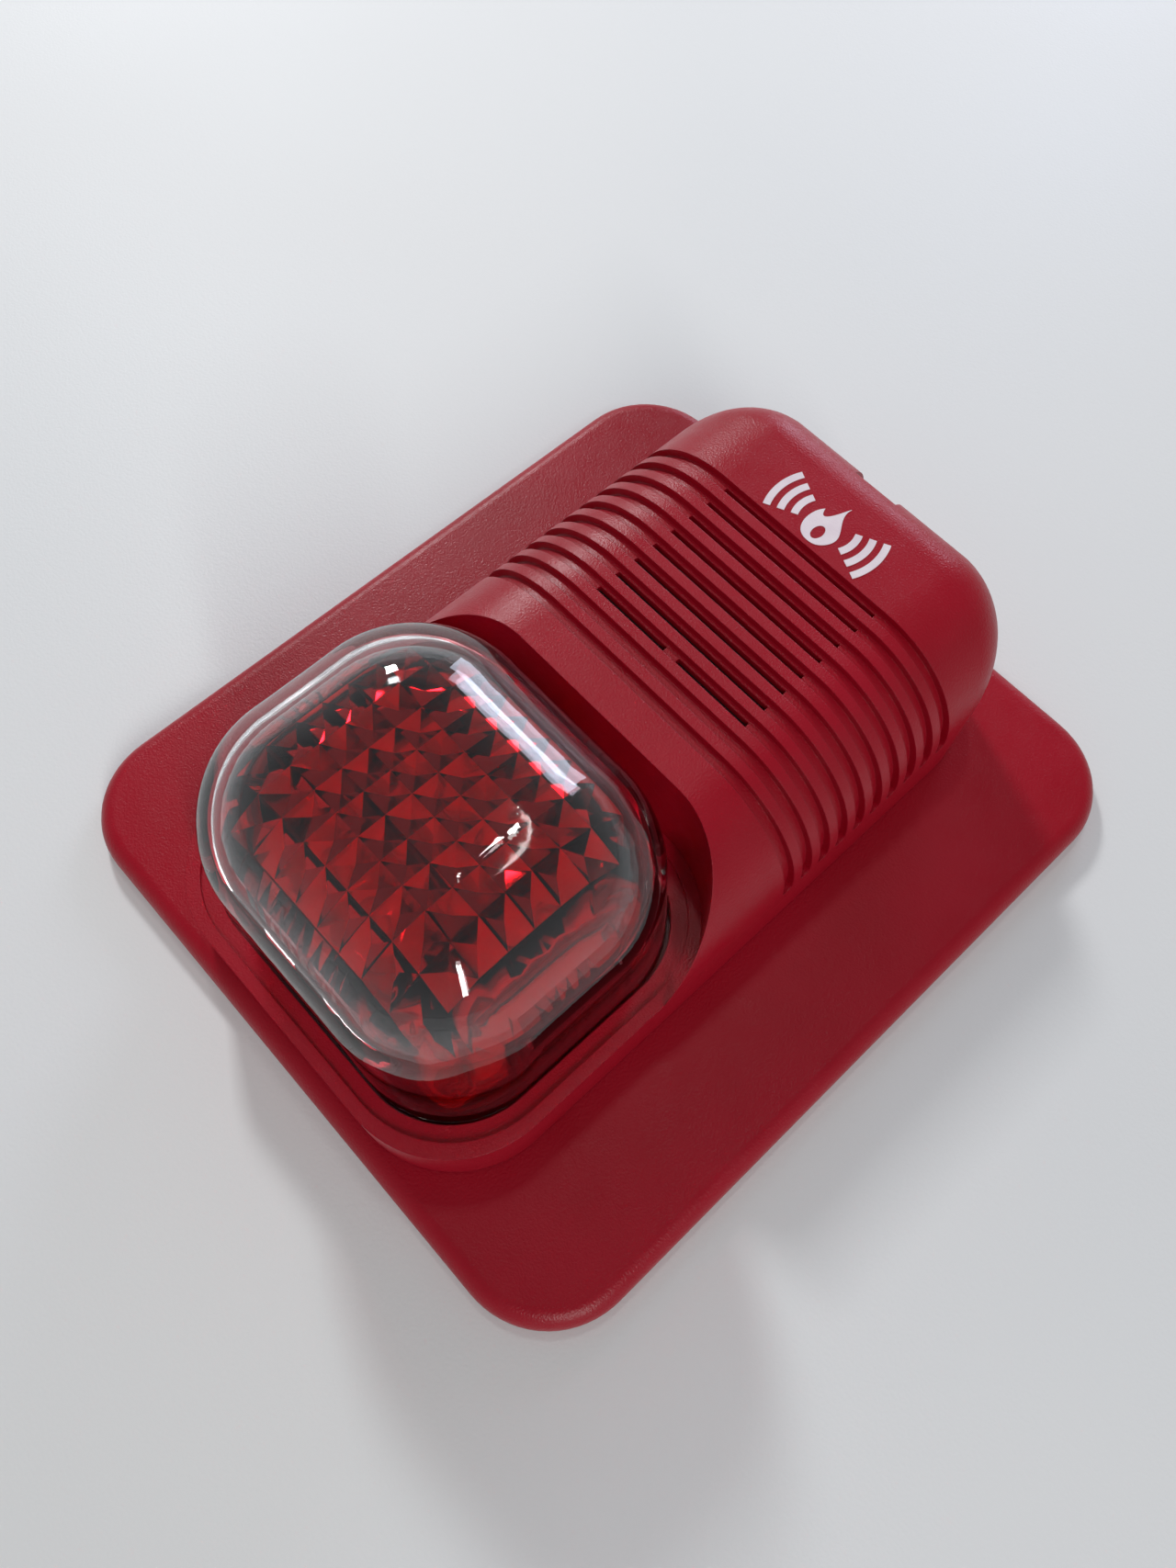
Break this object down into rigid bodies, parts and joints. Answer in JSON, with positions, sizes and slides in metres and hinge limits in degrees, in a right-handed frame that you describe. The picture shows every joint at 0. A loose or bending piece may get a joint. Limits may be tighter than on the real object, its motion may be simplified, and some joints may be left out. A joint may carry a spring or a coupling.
{
  "type": "horn strobe",
  "caption": "Wall-mounted fire alarm horn strobe: square back plate, plug-in sounder head with grooved slotted grille, and a clear domed lens over a red prismatic diffuser",
  "frame": {"origin": "centre of the back plate's rear face, on the wall plane", "axes": "+Z points out of the wall, +Y points up the wall towards the sounder end, +X points right seen from the front"},
  "size_m": [0.14, 0.16, 0.066],
  "materials": {
    "red_satin_abs": "fine spark-eroded satin, moulded ABS",
    "black_abs": "fine matt, moulded ABS",
    "green_terminal": "moulded polyamide",
    "blue_switch": "moulded PBT",
    "white_plastic": "moulded, glossy",
    "clear_polycarbonate": "polished clear polycarbonate",
    "red_acrylic": "transparent red acrylic with moulded pyramids",
    "black_rubber": "soft silicone",
    "black_mesh": "woven acoustic mesh",
    "white_board": "white solder resist",
    "green_board": "green solder resist on glass epoxy",
    "led_package": "white package with yellow phosphor",
    "black_epoxy": "moulded epoxy package",
    "capacitor_can": "sleeved aluminium can",
    "copper_winding": "enamelled copper on a ferrite bobbin",
    "piezo_brass": "rolled brass",
    "piezo_white": "silvered ceramic",
    "lead_red": "PVC insulation",
    "lead_black": "PVC insulation",
    "white_ink": "pad-printed ink",
    "contact_brass": "tinned brass",
    "zinc_steel": "zinc-plated steel"
  },
  "bodies": {
    "base": {"backplate": "red_satin_abs", "mounting_base": "black_abs", "base_screws": "zinc_steel", "terminal_block": "green_terminal", "terminal_clamps": "zinc_steel", "terminal_screws": "zinc_steel", "socket_contacts": "contact_brass"},
    "head": {"housing": "red_satin_abs", "clear_lens": "clear_polycarbonate", "red_lens": "red_acrylic", "lens_gasket": "black_rubber", "lens_retainer": "black_abs", "led_board": "white_board", "strobe_leds": "led_package", "reflector": "white_plastic", "led_screws": "zinc_steel", "rear_cover": "black_abs", "cover_screws": "zinc_steel", "dust_mesh": "black_mesh", "horn_chamber": "black_abs", "piezo_plate": "piezo_brass", "piezo_ceramic": "piezo_white", "piezo_ring": "black_abs", "chamber_screws": "zinc_steel", "main_board": "green_board", "board_screws": "zinc_steel", "capacitors": "capacitor_can", "horn_coil": "copper_winding", "controller_chip": "black_epoxy", "power_transistors": "black_epoxy", "pin_header": "black_abs", "plug_pins": "contact_brass", "dip_switch": "blue_switch", "trimmer_body": "blue_switch", "piezo_leads": "lead_red", "strobe_leads": "lead_black", "lock_nut": "zinc_steel", "symbol_print": "white_ink"},
    "lock_screw": {"lock_screw": "zinc_steel"},
    "trimmer_rotor": {"trimmer_rotor": "white_plastic"},
    "dip_slider_1": {"dip_slider_1": "white_plastic"},
    "dip_slider_2": {"dip_slider_2": "white_plastic"},
    "dip_slider_3": {"dip_slider_3": "white_plastic"},
    "dip_slider_4": {"dip_slider_4": "white_plastic"}
  },
  "joints": [
    {"name": "head_lift", "type": "slide", "parent": "base", "child": "head", "axis": [0, 0, 1], "range_m": [0, 0.06]},
    {"name": "lock_screw_travel", "type": "slide", "parent": "head", "child": "lock_screw", "axis": [0, 1, 0], "range_m": [0, 0.004]},
    {"name": "volume_turn", "type": "hinge", "parent": "head", "child": "trimmer_rotor", "pos_m": [0.018, 0.044, 0.0176], "axis": [0, 0, -1], "range_deg": [-135, 135]},
    {"name": "dip_slider_1_slide", "type": "slide", "parent": "head", "child": "dip_slider_1", "axis": [0, 1, 0], "range_m": [0, 0.0012]},
    {"name": "dip_slider_2_slide", "type": "slide", "parent": "head", "child": "dip_slider_2", "axis": [0, 1, 0], "range_m": [0, 0.0012]},
    {"name": "dip_slider_3_slide", "type": "slide", "parent": "head", "child": "dip_slider_3", "axis": [0, 1, 0], "range_m": [0, 0.0012]},
    {"name": "dip_slider_4_slide", "type": "slide", "parent": "head", "child": "dip_slider_4", "axis": [0, 1, 0], "range_m": [0, 0.0012]}
  ]
}
